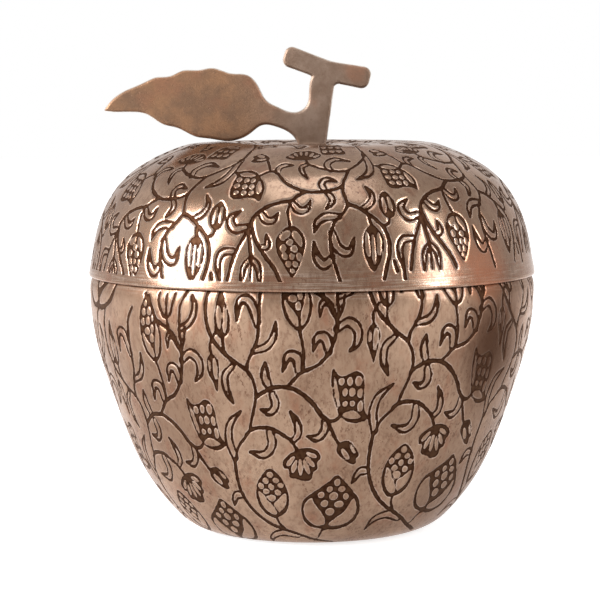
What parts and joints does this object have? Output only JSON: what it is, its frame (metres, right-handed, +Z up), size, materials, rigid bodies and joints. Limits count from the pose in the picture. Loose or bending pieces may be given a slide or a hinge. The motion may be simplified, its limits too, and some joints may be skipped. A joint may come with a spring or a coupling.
{
  "type": "sugar bowl",
  "caption": "Spun copper sugar bowl in the shape of an apple, with a lift-off lid that carries a cast leaf and twig, etched all over with a scrolling vine.",
  "frame": {"origin": "middle of the ring that the bowl stands on", "axes": "+Z up along the axis of the bowl; the leaf points along -X and the bar of the twig along +X"},
  "size_m": [0.1102, 0.1102, 0.1186],
  "materials": {
    "etched_copper": "spun copper, etched with dark lines and rubbed to a satin brown",
    "cast_copper": "cast copper, satin brown with worn bright edges",
    "fixing_brass": "turned brass",
    "tin_lining": "hand-wiped tin over copper, on the inside of the bowl and lid"
  },
  "bodies": {
    "bowl": {"bowl_shell": "etched_copper"},
    "lid": {"lid_shell": "etched_copper", "finial": "cast_copper", "finial_washer": "fixing_brass", "finial_screw": "fixing_brass"}
  },
  "joints": [
    {"name": "lid_lift", "type": "slide", "parent": "bowl", "child": "lid", "axis": [0, 0, 1], "range_m": [0, 0.1]}
  ]
}
